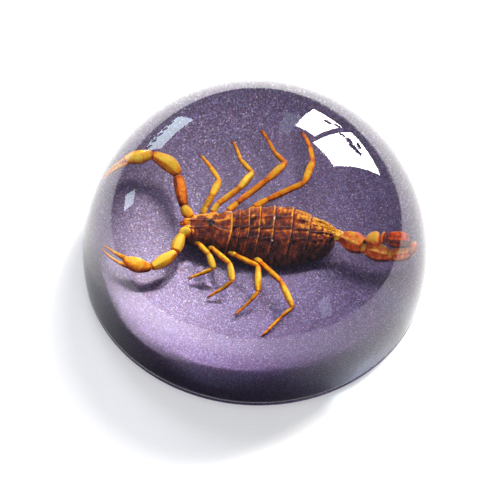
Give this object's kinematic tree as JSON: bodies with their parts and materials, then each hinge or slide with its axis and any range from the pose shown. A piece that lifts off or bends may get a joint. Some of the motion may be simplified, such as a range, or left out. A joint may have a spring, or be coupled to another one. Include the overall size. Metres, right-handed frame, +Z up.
{
  "type": "scorpion paperweight in a clear resin dome",
  "caption": "Clear cast-resin dome paperweight holding a real dried scorpion above a purple glitter backing, flat underside.",
  "frame": {"origin": "middle of the flat underside, where the dome stands", "axes": "+Z up along the dome's axis of revolution; the scorpion's tail points to +X and its head to -X"},
  "size_m": [0.08, 0.08, 0.0435],
  "materials": {
    "clear_resin": "water-clear polyester casting resin, mould-polished, see-through",
    "glitter_resin": "opaque purple resin loaded with fine pearl and glitter flakes",
    "glitter_flake": "cut metallised film flakes, 0.1 to 0.3 mm across",
    "dark_cuticle": "dried scorpion back plates, dark red-brown, grained and keeled",
    "amber_cuticle": "dried scorpion limbs, golden amber, slightly translucent, waxy"
  },
  "bodies": {
    "root": {"clear_dome": "clear_resin", "glitter_backing": "glitter_resin"}
  },
  "joints": []
}
